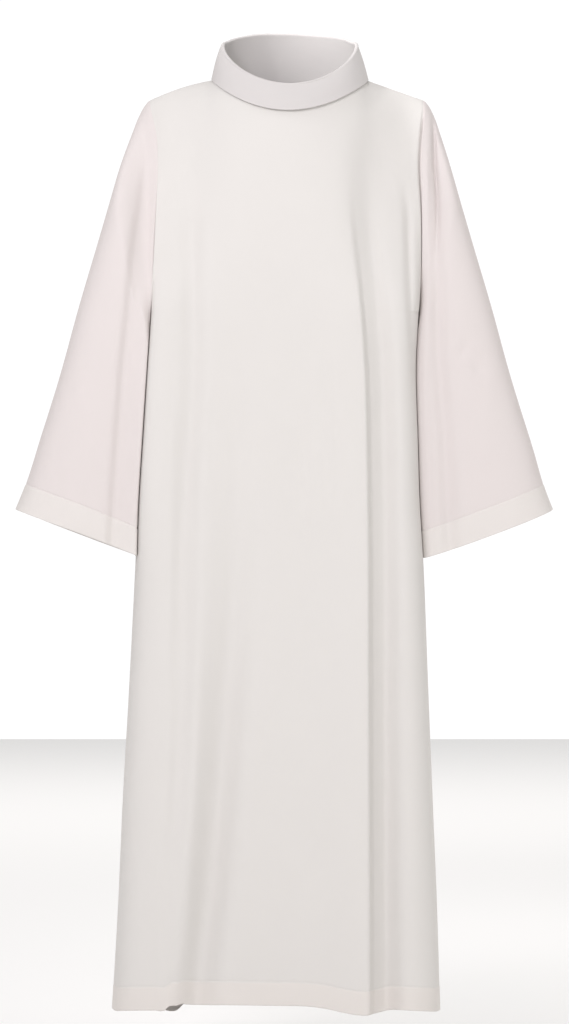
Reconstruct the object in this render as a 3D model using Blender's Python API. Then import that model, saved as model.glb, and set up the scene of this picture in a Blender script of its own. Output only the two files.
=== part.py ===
"""Alb robe: a long plain A-line robe with bell sleeves and a fold-over roll collar.

The robe hangs filled out as if worn, with nothing inside.  Metres, +Z up, front towards -Y.
The origin is the middle of the neck at the height where the shoulders meet it.
Each cut piece is a wall of cloth of its own, and the pieces stop just short of each other at
the seams: the front and back panels meet in the plane y = 0, each sleeve stands a little
outside its armhole, and the collar stands a little above the neck seam.
"""
from collections import namedtuple

import bmesh
import bpy
import numpy as np

for thing in list(bpy.data.objects):
    bpy.data.objects.remove(thing, do_unlink=True)

CLOTH = 0.0016              # wall of the robe's cloth
SEAM_GAP = 0.0003           # space between two pieces at a seam
FRONT, BACK = -1, 1         # side of the y = 0 plane that a panel is on

# ---------------------------------------------------------------- sizes of the body
UNDERARM = -0.370           # height of the foot of the armhole
SHOULDER_TIP = -0.029       # height of the top of the armhole
# How far each armhole bows to the front and to the back, at -X and at +X.
ARMHOLE_REACH = {FRONT: (0.094, 0.076), BACK: (0.062, 0.062)}
# The factor that makes the bow's fullest place 1, and how round the armhole's foot is.
ARMHOLE_FOOT = {FRONT: (1.37, 0.12), BACK: (1.74, 0.30)}
# How square the panels hang: 2 is an ellipse, more is boxier.
Squareness = namedtuple("Squareness", "chest foot")
SQUARE_LEFT = {FRONT: Squareness(10.5, 7.0), BACK: Squareness(2.7, 3.0)}      # towards -X
SQUARE_RIGHT = {FRONT: Squareness(6.5, 7.4), BACK: Squareness(2.7, 3.0)}      # towards +X
CHEST_END, FOOT_START = -0.50, -0.85    # between these heights the squareness changes
SHOULDER_RISE = 0.004       # the shoulder seam at -X is that much rounder than the other one
SHOULDER_FALL = 4.5         # how fast the cloth turns down from the shoulder seam
SHOULDER_ROUND = 0.62       # under 1 rounds the top of the shoulder
NECK_SHARE = 0.31           # share of a panel's width that its neckline takes

Level = namedtuple("Level", "height half_width lean front back")
BODY_LEVELS = [
    Level(height=-0.029, half_width=0.2190, lean=0.0035, front=0.098, back=0.094),
    Level(height=-0.050, half_width=0.2140, lean=0.0060, front=0.102, back=0.101),
    Level(height=-0.075, half_width=0.2090, lean=0.0085, front=0.106, back=0.107),
    Level(height=-0.125, half_width=0.2065, lean=0.0078, front=0.113, back=0.113),
    Level(height=-0.200, half_width=0.2105, lean=0.0070, front=0.119, back=0.116),
    Level(height=-0.290, half_width=0.2125, lean=0.0050, front=0.122, back=0.115),
    Level(height=-0.370, half_width=0.2125, lean=0.0015, front=0.122, back=0.114),
    Level(height=-0.450, half_width=0.2135, lean=-0.0035, front=0.122, back=0.114),
    Level(height=-0.573, half_width=0.2190, lean=-0.0060, front=0.124, back=0.117),
    Level(height=-0.670, half_width=0.2235, lean=-0.0080, front=0.127, back=0.120),
    Level(height=-0.760, half_width=0.2285, lean=-0.0080, front=0.130, back=0.124),
    Level(height=-0.990, half_width=0.2390, lean=-0.0095, front=0.139, back=0.134),
    Level(height=-1.146, half_width=0.2465, lean=-0.0108, front=0.145, back=0.141),
    Level(height=-1.300, half_width=0.2530, lean=-0.0110, front=0.151, back=0.148),
    Level(height=-1.485, half_width=0.2610, lean=-0.0135, front=0.158, back=0.156),
]

# Height of the hem, by its place across the panel from -1 (wearer's right) to 1.
HemPoint = namedtuple("HemPoint", "across height")
HEM_LINE = {
    FRONT: [
        HemPoint(-1.00, -1.4740), HemPoint(-0.98, -1.4755), HemPoint(-0.94, -1.4745),
        HemPoint(-0.85, -1.4730), HemPoint(-0.73, -1.4722), HemPoint(-0.668, -1.4712),
        HemPoint(-0.650, -1.4660), HemPoint(-0.600, -1.4650), HemPoint(-0.55, -1.4635),
        HemPoint(-0.30, -1.4640), HemPoint(0.00, -1.4650), HemPoint(0.20, -1.4660),
        HemPoint(0.30, -1.4690), HemPoint(0.40, -1.4745), HemPoint(0.53, -1.4790),
        HemPoint(0.62, -1.4765), HemPoint(0.70, -1.4725), HemPoint(0.80, -1.4725),
        HemPoint(0.92, -1.4750), HemPoint(1.00, -1.4760)],
    BACK: [
        HemPoint(-1.00, -1.4740), HemPoint(-0.95, -1.4810), HemPoint(-0.85, -1.4860),
        HemPoint(-0.74, -1.4890), HemPoint(-0.67, -1.4965), HemPoint(-0.615, -1.4955),
        HemPoint(-0.575, -1.4860), HemPoint(-0.45, -1.4840), HemPoint(0.00, -1.4820),
        HemPoint(0.30, -1.4840), HemPoint(0.56, -1.4900), HemPoint(0.75, -1.4860),
        HemPoint(1.00, -1.4760)],
}

# The large folds.  A fold runs through its points from the top down, and stands out of the
# panel by `out` there (a hollow is below 0).  `steep` is 1 where its side towards +X is steep
# and drops into a hollow, and 0 where both sides are even.
Run = namedtuple("Run", "height x out")
Fold = namedtuple("Fold", "panel width steep run")
FOLDS = [
    Fold(panel=FRONT, width=0.070, steep=1, run=[
        Run(-0.06, 0.098, 0.000), Run(-0.15, 0.100, 0.0025), Run(-0.234, 0.104, 0.0065),
        Run(-0.345, 0.116, 0.0115), Run(-0.424, 0.1225, 0.0135), Run(-0.66, 0.129, 0.0155),
        Run(-1.00, 0.1305, 0.0185), Run(-1.49, 0.132, 0.0205)]),
    Fold(panel=FRONT, width=0.034, steep=0, run=[
        Run(-0.18, 0.186, 0.000), Run(-0.45, 0.190, 0.004), Run(-0.90, 0.198, 0.005),
        Run(-1.49, 0.206, 0.005)]),
    Fold(panel=FRONT, width=0.055, steep=1, run=[
        Run(-0.45, -0.174, 0.000), Run(-0.62, -0.176, 0.0030), Run(-0.85, -0.179, 0.0045),
        Run(-1.10, -0.183, 0.0045), Run(-1.30, -0.193, 0.0040), Run(-1.49, -0.198, 0.0030)]),
    Fold(panel=FRONT, width=0.036, steep=0, run=[
        Run(-0.38, -0.076, 0.000), Run(-0.54, -0.076, -0.0025), Run(-0.67, -0.076, -0.0055),
        Run(-0.83, -0.079, -0.0110), Run(-0.985, -0.090, -0.0165),
        Run(-1.143, -0.103, -0.0205), Run(-1.30, -0.118, -0.0225),
        Run(-1.41, -0.131, -0.0210), Run(-1.49, -0.140, -0.0195)]),
    Fold(panel=FRONT, width=0.026, steep=0, run=[
        Run(-0.30, -0.123, 0.000), Run(-0.50, -0.124, 0.0020), Run(-0.67, -0.126, 0.0035),
        Run(-0.985, -0.140, 0.0075), Run(-1.30, -0.163, 0.0095), Run(-1.49, -0.180, 0.0090)]),
    Fold(panel=FRONT, width=0.022, steep=0, run=[
        Run(-0.07, -0.148, 0.000), Run(-0.20, -0.148, -0.0065), Run(-0.35, -0.146, -0.0090),
        Run(-0.55, -0.147, -0.0065), Run(-0.67, -0.159, -0.0050), Run(-0.95, -0.175, 0.000)]),
    Fold(panel=BACK, width=0.085, steep=0, run=[
        Run(-0.22, -0.070, 0.000), Run(-0.80, -0.085, 0.010), Run(-1.49, -0.120, 0.015)]),
    Fold(panel=BACK, width=0.060, steep=0, run=[
        Run(-0.40, 0.020, 0.000), Run(-0.90, 0.018, 0.006), Run(-1.49, 0.022, 0.010)]),
    Fold(panel=BACK, width=0.075, steep=1, run=[
        Run(-0.18, 0.105, 0.000), Run(-0.80, 0.118, 0.009), Run(-1.49, 0.142, 0.014)]),
]

# ---------------------------------------------------------------- sizes of the collar
NECK_LEAN = 0.0084          # the neck's middle stands this far to +X
FALL_EDGE = (0.125, 0.100)  # half width and half depth of the collar's free lower edge
FOLD_TOP = (0.110, 0.087)   # the same of the fold at the top
SEAM_INSET = 0.0055         # the neck seam lies this far inside the free edge
FOLD_RADIUS = 0.003         # outside of the roll at the top
COLLAR_CLOTH = 0.0014
NECK_SLANT = 0.7            # slope of the panels' edge under the collar

# ---------------------------------------------------------------- sizes of the sleeves
SLEEVE_GAP = 0.003          # space between the hanging sleeve and the robe's side
SLEEVE_LEAN = 0.0015
CUFF_INNER = {-1: -0.757, 1: -0.760}    # height of each cuff where it is nearest the robe
SLEEVE_SET_BACK = {-1: -0.010, 1: 0.002}    # how far behind the side seam each sleeve hangs
Edge = namedtuple("Edge", "out height")
SLEEVE_TOP_EDGE = [
    Edge(out=0.2190, height=-0.029),
    Edge(out=0.2265, height=-0.038),
    Edge(out=0.2365, height=-0.057),
    Edge(out=0.2460, height=-0.083),
    Edge(out=0.2575, height=-0.117),
    Edge(out=0.2810, height=-0.198),
    Edge(out=0.2970, height=-0.253),
    Edge(out=0.3280, height=-0.358),
    Edge(out=0.3600, height=-0.474),
    Edge(out=0.3900, height=-0.570),
    Edge(out=0.4140, height=-0.645),
    Edge(out=0.4295, height=-0.683),
]
# Depth of each sleeve to the front and of both to the back, evenly spaced from armhole to cuff.
SLEEVE_FRONT_DEPTH = {-1: [0.094, 0.094, 0.095, 0.095, 0.094, 0.092],
                      1: [0.076, 0.082, 0.087, 0.088, 0.088, 0.086]}
SLEEVE_BACK_DEPTH = [0.062, 0.064, 0.064, 0.062, 0.060, 0.058]
# How round a sleeve's edges are: 0 is square, 1 is round.
INNER_ROUNDNESS = {FRONT: 0.05, BACK: 0.30}     # beside the robe
OUTER_ROUNDNESS = 0.36
CuffDip = namedtuple("CuffDip", "front back")
CUFF_DIP = {-1: CuffDip(0.000, 0.003), 1: CuffDip(0.005, 0.007)}   # drop of the cuff's middle
# The sleeves' folds run beside the robe.  `off` is the distance from its side or armhole.
SleeveRun = namedtuple("SleeveRun", "height off out")
# `near` and `far` are a fold's half widths on the robe's side and on the other one.
SleeveFold = namedtuple("SleeveFold", "face near far run")
BACK_VALLEY = SleeveFold(face=BACK, near=0.020, far=0.020, run=[
    SleeveRun(-0.12, 0.018, 0.000), SleeveRun(-0.40, 0.045, -0.010),
    SleeveRun(-0.76, 0.060, -0.012)])
SLEEVE_FOLDS = {
    -1: [
        SleeveFold(face=FRONT, near=0.018, far=0.008, run=[
            SleeveRun(-0.12, 0.020, -0.002), SleeveRun(-0.19, 0.023, -0.005),
            SleeveRun(-0.27, 0.030, -0.007), SleeveRun(-0.40, 0.035, -0.008),
            SleeveRun(-0.76, 0.038, -0.008)]),
        BACK_VALLEY],
    1: [
        SleeveFold(face=FRONT, near=0.010, far=0.014, run=[
            SleeveRun(-0.05, 0.020, -0.001), SleeveRun(-0.13, 0.026, -0.004),
            SleeveRun(-0.27, 0.0245, -0.007), SleeveRun(-0.40, 0.032, -0.007),
            SleeveRun(-0.53, 0.040, -0.007), SleeveRun(-0.76, 0.044, -0.007)]),
        SleeveFold(face=FRONT, near=0.008, far=0.008, run=[
            SleeveRun(-0.05, 0.009, 0.001), SleeveRun(-0.13, 0.010, 0.004),
            SleeveRun(-0.25, 0.010, 0.003), SleeveRun(-0.76, 0.013, 0.003)]),
        BACK_VALLEY],
}

# ---------------------------------------------------------------- the mesh's fineness
ARMHOLE_STEPS = 16          # rows from the shoulder to the underarm
SKIRT_STEPS = 13            # rows from the underarm to the hem
NECK_COLUMNS = 16
SHOULDER_COLUMNS = 9
ROW_CROWDING = 1.3          # more rows just below the underarm
COLUMN_CROWDING = 1.5       # more columns near the neck, where the long folds run
RIDGE_END = 0.7 * np.pi     # the armhole seam is a ridge down to here, then a fork
SLEEVE_STEPS = [0, 0.02, 0.05, 0.09, 0.15, 0.23, 0.32, 0.42, 0.52, 0.62, 0.72, 0.82, 0.92, 1]
COLLAR_COLUMNS = 2 * NECK_COLUMNS


def through(xs, ys, x):
    """A smooth curve through a table's points, read at x."""
    xs, ys, x = np.asarray(xs, float), np.asarray(ys, float), np.asarray(x, float)
    if xs[0] > xs[-1]:
        xs, ys = xs[::-1], ys[::-1]
    slope = np.gradient(ys, xs)
    i = np.clip(np.searchsorted(xs, x) - 1, 0, len(xs) - 2)
    span = xs[i + 1] - xs[i]
    q = np.clip((x - xs[i]) / span, 0, 1)
    return ((2 * q**3 - 3 * q**2 + 1) * ys[i] + (q**3 - 2 * q**2 + q) * span * slope[i]
            + (3 * q**2 - 2 * q**3) * ys[i + 1] + (q**3 - q**2) * span * slope[i + 1])


def level(column, height):
    """One column of the body's level table at a height."""
    return through([row.height for row in BODY_LEVELS],
                   [getattr(row, column) for row in BODY_LEVELS], height)


def ease(x, start, end):
    q = np.clip((x - start) / (end - start), 0, 1)
    return q * q * (3 - 2 * q)


def squareness(side, right, height):
    """How square a panel is at a height; right runs from 0 at -X to 1 at +X."""
    left_edge, right_edge = SQUARE_LEFT[side], SQUARE_RIGHT[side]
    chest = left_edge.chest + (right_edge.chest - left_edge.chest) * right
    foot = left_edge.foot + (right_edge.foot - left_edge.foot) * right
    return chest + (foot - chest) * ease(-height, -CHEST_END, -FOOT_START)


# ---------------------------------------------------------------- neck and body shapes
def neck_height(along):
    """Height of the neck seam; along runs from -1 at the front to 1 at the back."""
    return 0.004 + 0.012 * along - np.where(along < 0, 0.0400, 0.0130) * along**2


def fall_edge_height(along):
    """Height of the collar's free lower edge."""
    return 0.0040 + 0.0124 * along - np.where(along < 0, 0.0426, 0.0160) * along**2


def fold_top_height(turn):
    """Height of the fold along the collar's top, a little lower at both sides of the back."""
    along, right = -np.cos(turn), np.sin(turn)
    droop = 0.010 * np.maximum(right, 0) + 0.006 * ease(-right, 0.3, 1)
    return 0.060 + 0.0455 * along - 0.0215 * along**2 - droop * ease(along, 0, 0.4)


def unit(vectors):
    return vectors / np.linalg.norm(vectors, axis=-1, keepdims=True)


def ring(size, turn):
    """Plan of the neck's rings; turn is 0 at the front and pi at the back."""
    return np.stack([NECK_LEAN + size[0] * np.sin(turn), -size[1] * np.cos(turn)], axis=-1)


def ring_outward(turn):
    """Level way out of the neck's rings."""
    return unit(np.stack([np.sin(turn) / FALL_EDGE[0], -np.cos(turn) / FALL_EDGE[1]], axis=-1))


def top_line(side, across):
    """Upper edge of a panel: shoulder seam, neckline, shoulder seam."""
    turn = np.clip(across / NECK_SHARE, -1, 1) * np.pi / 2
    turn = turn if side == FRONT else np.pi - turn
    along = -np.cos(turn)
    seam = ring(FALL_EDGE, turn) - SEAM_INSET * ring_outward(turn)
    neck_x, neck_y = seam[..., 0], seam[..., 1]
    out = np.clip((np.abs(across) - NECK_SHARE) / (1 - NECK_SHARE), 0, 1)
    tip_x = BODY_LEVELS[0].lean + np.sign(across) * BODY_LEVELS[0].half_width
    x = neck_x + (tip_x - neck_x) * out
    rise = SHOULDER_RISE * np.sin(np.pi * out) * (across < 0)
    z = neck_height(along) + (SHOULDER_TIP - neck_height(along)) * out + rise
    return x, neck_y * (out == 0), z


def fold_shape(q, steep):
    """Height of a fold's crest across it: even, or with one steep side and a hollow."""
    if not steep:
        return np.exp(-q**2 * 2)
    gentle = np.exp(-(np.minimum(q, 0) * 0.9)**2)
    steep_side = 1 - 0.8 * ease(q, 0, 0.14) - 1.05 * ease(q, 0, 0.45) + 0.8 * ease(q, 0.38, 0.85)
    return np.where(q < 0, gentle, steep_side)


def run_through(run, height):
    """Where a fold runs at a height, and how far it stands out there."""
    heights = [point.height for point in run]
    height = np.clip(height, heights[-1], heights[0])
    return [through(heights, [point[column] for point in run], height) for column in (1, 2)]


def fold_height(side, x, height):
    """How far the large folds stand out of a panel."""
    total = np.zeros(np.broadcast(x, height).shape)
    for fold in FOLDS:
        if fold.panel == side:
            middle, out = run_through(fold.run, height)
            total += out * fold_shape((x - middle) / fold.width, fold.steep)
    return total


def armhole_bow(side, across, yoke, rim):
    """How far the armhole holds a panel out, from the shoulder (0) to the underarm (1)."""
    left, right = ARMHOLE_REACH[side]
    fullest, foot = ARMHOLE_FOOT[side]
    reach = np.where(across < 0, left, right) * fullest * yoke**0.55 * (1 - yoke)**foot
    return reach * (1 - rim**4)


def panel_surface(side, across, down):
    """Outer face of a panel.  down is 0 at the top, 1 at the underarm and 2 at the hem."""
    angle = across * np.pi / 2
    top_x, top_y, top_z = top_line(side, across)
    yoke = np.clip(down, 0, 1)
    skirt = np.clip(down - 1, 0, 1)
    rough_height = UNDERARM + (BODY_LEVELS[-1].height - UNDERARM) * skirt
    power = 2 / squareness(side, ease(across, -0.5, 0.5), rough_height)
    place = np.sign(across) * np.abs(np.sin(angle))**power
    rim = np.abs(np.cos(angle))**power
    hem = through(*np.transpose(HEM_LINE[side]), place)
    even_hem = np.mean([point.height for point in HEM_LINE[side]])
    hem = even_hem + (hem - even_hem) * skirt**3
    z = top_z + (UNDERARM - top_z) * yoke + (hem - UNDERARM) * skirt
    reach = level("front" if side == FRONT else "back", z)
    turned = (1 - (1 - yoke)**SHOULDER_FALL)**SHOULDER_ROUND
    x = level("lean", z) + level("half_width", z) * place
    x = top_x + (x - top_x) * turned
    near_edge = turned + (1 - turned) * np.abs(across)**8
    flat_rim = 1 - np.abs(place)**3
    rim = flat_rim + (rim - flat_rim) * ease(yoke, 0.4, 1)
    depth = np.abs(top_y) * (1 - turned) + reach * rim * turned
    bow = armhole_bow(side, across, yoke, rim) * near_edge
    depth = (depth**3 + bow**3)**(1 / 3)
    depth += fold_height(side, x, z) * ease(rim, 0, 0.35)
    return np.stack([x, side * depth, z], axis=-1)


# ---------------------------------------------------------------- sleeve shapes
def body_side(side, y, z):
    """Distance of the robe's side from its middle, at a depth and a height."""
    reach = np.where(y < 0, level("front", z), level("back", z))
    power = np.where(y < 0, squareness(FRONT, side > 0, z), squareness(BACK, side > 0, z))
    inside = np.clip(1 - np.abs(y / reach)**power, 0, 1)
    return level("half_width", z) * inside**(1 / power) + side * level("lean", z)


def armhole(side, turn):
    """The panels' edge: turn is 0 at the shoulder, pi at the underarm and goes by the front."""
    place, down = np.full(turn.shape, float(side)), (1 - np.cos(turn)) / 2
    in_front = np.sin(turn)[..., None] > -1e-9
    return np.where(in_front, panel_surface(FRONT, place, down),
                    panel_surface(BACK, place, down))


def sleeve_surface(side, turn, along):
    """Outer face of a sleeve: turn goes round it from the top edge by the front."""
    edge = np.array([[row.out, row.height] for row in SLEEVE_TOP_EDGE])
    length = np.concatenate([[0], np.cumsum(np.hypot(*np.diff(edge, axis=0).T))])
    top_out = through(length / length[-1], edge[:, 0], along)
    top_z = through(length / length[-1], edge[:, 1], along)
    inner_z = UNDERARM + (CUFF_INNER[side] - UNDERARM) * along
    set_back = SLEEVE_SET_BACK[side] * ease(along, 0, 0.18)
    gap = SEAM_GAP + (SLEEVE_GAP - SEAM_GAP) * ease(along, 0, 0.13)
    tip_out = BODY_LEVELS[0].half_width + side * BODY_LEVELS[0].lean
    top_out = top_out + (tip_out - edge[0, 0]) * (1 - ease(along, 0, 0.2))
    top_out += SLEEVE_LEAN * (side * ease(along, 0, 0.2) - (1 + side) * ease(along, 0.85, 1))

    share = (1 + np.cos(turn)) / 2
    in_front = np.sin(turn) > 0
    z = inner_z + (top_z - inner_z) * share
    steps = np.linspace(0, 1, len(SLEEVE_BACK_DEPTH))
    half_depth = np.where(in_front, through(steps, SLEEVE_FRONT_DEPTH[side], along),
                          through(steps, SLEEVE_BACK_DEPTH, along))
    # the outer edge is round, and the inner one lies flat along the body's side
    inner_roundness = np.where(in_front, INNER_ROUNDNESS[FRONT], INNER_ROUNDNESS[BACK])
    roundness = OUTER_ROUNDNESS + (inner_roundness - OUTER_ROUNDNESS) * (1 - share)**2
    y = set_back - half_depth * np.sign(np.sin(turn)) * np.abs(np.sin(turn))**roundness

    # at the armhole the sleeve starts on the armhole's own edge, one seam gap outside it
    leaving = ease(along, 0, 0.10 + 0.15 * ease(share, 0, 0.4))
    start = armhole(side, turn)
    y = start[..., 1] + (y - start[..., 1]) * leaving
    inner_out = body_side(side, y * leaving, inner_z) + gap
    out = inner_out + (top_out - inner_out) * share
    straight = (body_side(side, 0 * turn, UNDERARM + 0 * turn) * (1 - share) + tip_out * share)
    out = out + (side * start[..., 0] - straight) * (1 - leaving)
    out = out + SEAM_GAP * share * (1 - ease(along, 0, 0.1))

    off = out - level("half_width", z) - side * level("lean", z)
    facing = -np.sign(np.sin(turn))
    for fold in SLEEVE_FOLDS[side]:
        middle, stands = run_through(fold.run, z)
        width = np.where(off < middle, fold.near, fold.far)
        stands = stands * np.exp(-((off - middle) / width)**2) * (facing == fold.face)
        y = y + facing * stands * ease(np.abs(np.sin(turn)), 0, 0.3) * ease(along, 0, 0.06)

    # the cuff hangs lower in its middle
    dip = np.where(in_front, CUFF_DIP[side].front, CUFF_DIP[side].back)
    z = z - dip * np.abs(np.sin(turn)) * along**3

    # the sleeve lies clear of the armhole's edge, and below it clear of the robe's side
    clear = body_side(side, y * ease(UNDERARM - z, 0, 0.03), z) + gap
    out = np.where(z < UNDERARM + 0.15, np.maximum(out, clear), out)
    return np.stack([side * out, y, z], axis=-1)


# ---------------------------------------------------------------- making the walls
def outward(grid, closed=False):
    """Unit normals of a grid of points, rows down and columns across."""
    if closed:
        across = np.roll(grid, -1, axis=1) - np.roll(grid, 1, axis=1)
    else:
        across = np.gradient(grid, axis=1)
    normal = np.cross(np.gradient(grid, axis=0), across)
    return normal / np.linalg.norm(normal, axis=-1, keepdims=True)


def add_object(name, bm, colour, roughness):
    bmesh.ops.recalc_face_normals(bm, faces=bm.faces)
    mesh = bpy.data.meshes.new(name)
    bm.to_mesh(mesh)
    bm.free()
    mesh.shade_smooth()
    mesh.set_sharp_from_angle(angle=np.radians(50))
    material = bpy.data.materials.new(name + "_cloth")
    material.use_nodes = True
    shader = material.node_tree.nodes["Principled BSDF"]
    shader.inputs["Base Color"].default_value = (*colour, 1)
    shader.inputs["Roughness"].default_value = roughness
    shader.inputs["Metallic"].default_value = 0
    mesh.materials.append(material)
    robe.objects.link(bpy.data.objects.new(name, mesh))


def wall(name, outer, inner, closed):
    """A closed wall between two grids of points; closed grids run round a tube."""
    bm = bmesh.new()
    rows, columns = outer.shape[:2]
    faces = [[[bm.verts.new(p) for p in row] for row in grid] for grid in (outer, inner)]
    last = columns if closed else columns - 1
    for r in range(rows - 1):
        for c in range(last):
            n = (c + 1) % columns
            for f in faces:
                bm.faces.new((f[r][c], f[r][n], f[r + 1][n], f[r + 1][c]))
    out, inn = faces
    for r in (0, rows - 1):
        for c in range(last):
            n = (c + 1) % columns
            bm.faces.new((out[r][c], out[r][n], inn[r][n], inn[r][c]))
    if not closed:
        for c in (0, columns - 1):
            for r in range(rows - 1):
                bm.faces.new((out[r][c], out[r + 1][c], inn[r + 1][c], inn[r][c]))
    add_object(name, bm, IVORY, CLOTH_ROUGHNESS)


IVORY = (0.86, 0.82, 0.78)
CLOTH_ROUGHNESS = 0.72
robe = bpy.data.collections.new("alb_robe")
bpy.context.scene.collection.children.link(robe)

# rows evenly spaced round the armhole, then wider and wider down to the hem
armhole_turns = np.pi * np.arange(ARMHOLE_STEPS + 1) / ARMHOLE_STEPS
panel_rows = np.concatenate([(1 - np.cos(armhole_turns)) / 2,
                             1 + (np.arange(1, SKIRT_STEPS + 1) / SKIRT_STEPS)**ROW_CROWDING])
shoulder_part = NECK_SHARE + (1 - NECK_SHARE) * (
    np.arange(1, SHOULDER_COLUMNS + 1) / SHOULDER_COLUMNS)**COLUMN_CROWDING
neck_part = NECK_SHARE * np.linspace(-1, 1, NECK_COLUMNS + 1)
panel_columns = np.concatenate([-shoulder_part[::-1], neck_part, shoulder_part])
across, down = np.meshgrid(panel_columns, panel_rows)

panels, panel_normals = {}, {}
for side in (FRONT, BACK):
    panels[side] = panel_surface(side, across, down)
    normal = outward(panels[side])
    panel_normals[side] = normal * np.sign(side * normal[-1, len(panel_columns) // 2, 1])
    # front and back meet in the plane y = 0 at the shoulders and sides
    panel_normals[side][0, np.abs(panel_columns) > NECK_SHARE, 1] = 0
    # along the neckline the wall's edge slants down and inwards under the collar
    neckline = np.abs(panel_columns) <= NECK_SHARE
    around = panel_columns[neckline] / NECK_SHARE * np.pi / 2
    around = around if side == FRONT else np.pi - around
    panel_normals[side][0, neckline, :2] = ring_outward(around)
    panel_normals[side][0, neckline, 2] = NECK_SLANT
    panel_normals[side][ARMHOLE_STEPS:, [0, -1], 1:] = 0

sleeves, sleeve_normals = {}, {}
for side in (-1, 1):
    turns = 2 * np.pi * np.arange(2 * ARMHOLE_STEPS) / (2 * ARMHOLE_STEPS)
    turn, along = np.meshgrid(turns, SLEEVE_STEPS)
    sleeves[side] = sleeve_surface(side, turn, along)
    normal = outward(sleeves[side], closed=True)
    normal *= np.sign(side * normal[-3, 0, 0])
    # the two walls share one slant along the armhole seam, but not in the fork of the underarm
    for panel in (FRONT, BACK):
        edge = 0 if side < 0 else -1
        body_normal = unit(panel_normals[panel][:ARMHOLE_STEPS + 1, edge])
        place = np.arange(ARMHOLE_STEPS + 1)
        if panel == BACK:
            place = -place
        own = normal[0, place]
        ahead = sleeves[side][1, place] - sleeves[side][0, place]
        ridge = np.sum(ahead * body_normal, axis=1, keepdims=True) < 0
        ridge &= armhole_turns[:, None] < RIDGE_END
        agree = np.clip(np.sum(body_normal * own, axis=1, keepdims=True) / 0.5, 0, 1)
        agree = np.where(ridge, 1, agree)
        normal[0, place] = unit(own + agree * body_normal)
        panel_normals[panel][:ARMHOLE_STEPS + 1, edge] = unit(body_normal + agree * own)
    sleeve_normals[side] = normal

for side, name in ((FRONT, "body_front"), (BACK, "body_back")):
    normal = panel_normals[side]
    normal[0, [0, -1], 1] = 0
    inner = panels[side] - CLOTH * unit(normal)
    for grid in (panels[side], inner):
        grid[..., 1] = side * np.maximum(side * grid[..., 1], SEAM_GAP / 2)
    wall(name, panels[side], inner, closed=False)

for side, name in ((-1, "sleeve_left"), (1, "sleeve_right")):
    inner = sleeves[side] - CLOTH * sleeve_normals[side]
    wall(name, sleeves[side], inner, closed=True)


# ---------------------------------------------------------------- the collar
def collar_section(turn):
    """Points round the collar's folded wall at one turn (0 at the front)."""
    along = -np.cos(turn)
    outward_way = ring_outward(turn)
    edge, top = ring(FALL_EDGE, turn), ring(FOLD_TOP, turn)
    seam = edge - SEAM_INSET * outward_way
    roll_z = fold_top_height(turn) - FOLD_RADIUS
    outside, inside = [], []
    for q in np.linspace(0, 1, 4):
        belly = 0.0015 * np.sin(np.pi * q)
        place = edge + (top - edge) * q + belly * outward_way
        height = fall_edge_height(along) + (roll_z - fall_edge_height(along)) * q
        outside.append((*place, height))
        inside.append((*(place - COLLAR_CLOTH * outward_way), height))
    for roll in np.radians([45, 90, 135]):
        back = (1 - np.cos(roll)) * outward_way
        outside.append((*(top - FOLD_RADIUS * back), roll_z + FOLD_RADIUS * np.sin(roll)))
        small = FOLD_RADIUS - COLLAR_CLOTH
        inside.append((*(top - COLLAR_CLOTH * outward_way - small * back),
                       roll_z + small * np.sin(roll)))
    for q in np.linspace(1, 0, 4):
        start = top - 2 * FOLD_RADIUS * outward_way
        place = (seam - COLLAR_CLOTH * outward_way) * (1 - q) + start * q
        height = neck_height(along) + SEAM_GAP + (roll_z - neck_height(along) - SEAM_GAP) * q
        outside.append((*place, height))
        inside.append((*(place + COLLAR_CLOTH * outward_way), height))
    return outside, inside


sections = [collar_section(2 * np.pi * c / COLLAR_COLUMNS) for c in range(COLLAR_COLUMNS)]
collar_outer = np.array([outside for outside, inside in sections]).transpose(1, 0, 2)
collar_inner = np.array([inside for outside, inside in sections]).transpose(1, 0, 2)
wall("collar", collar_outer, collar_inner, closed=True)
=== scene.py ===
import bpy
import numpy as np
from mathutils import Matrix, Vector


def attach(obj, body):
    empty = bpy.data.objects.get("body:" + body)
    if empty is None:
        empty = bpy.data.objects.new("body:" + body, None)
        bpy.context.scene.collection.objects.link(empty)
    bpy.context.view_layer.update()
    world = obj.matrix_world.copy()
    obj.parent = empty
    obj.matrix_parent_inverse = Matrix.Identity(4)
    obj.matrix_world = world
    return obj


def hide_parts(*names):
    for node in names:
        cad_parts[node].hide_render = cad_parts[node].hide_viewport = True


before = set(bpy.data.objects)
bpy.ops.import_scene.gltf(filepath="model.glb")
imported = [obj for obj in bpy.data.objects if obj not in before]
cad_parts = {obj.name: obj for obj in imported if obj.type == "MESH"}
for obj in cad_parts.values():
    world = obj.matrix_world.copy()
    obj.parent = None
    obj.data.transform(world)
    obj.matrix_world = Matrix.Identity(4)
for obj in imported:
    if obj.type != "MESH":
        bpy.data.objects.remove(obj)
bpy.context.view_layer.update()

# ============================================================ front and back panels
# The body of the alb is a wide front and a wide back panel of ivory polyester crepe.  They are
# sewn to each other along the shoulders and sides with narrow pressed-open seams, and hang
# from the shoulders in a few long soft folds that run down to the foot.
FRONT, BACK = -1, 1
CLOTH = 0.0008              # one layer of cloth
SEAM_GAP = 0.0003           # space between two pieces at a seam
SEAM_DITCH = 0.0010         # how deep a sewn seam pulls the cloth in
SEAM_REACH = 0.0022         # how far from the seam it does
TIGHT_DITCH = 5             # how many times more the tight armhole seam pulls it in
UNDERARM = -0.370           # height of the foot of the armhole
SHOULDER_TIP = -0.029       # height of the top of the armhole
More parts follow.
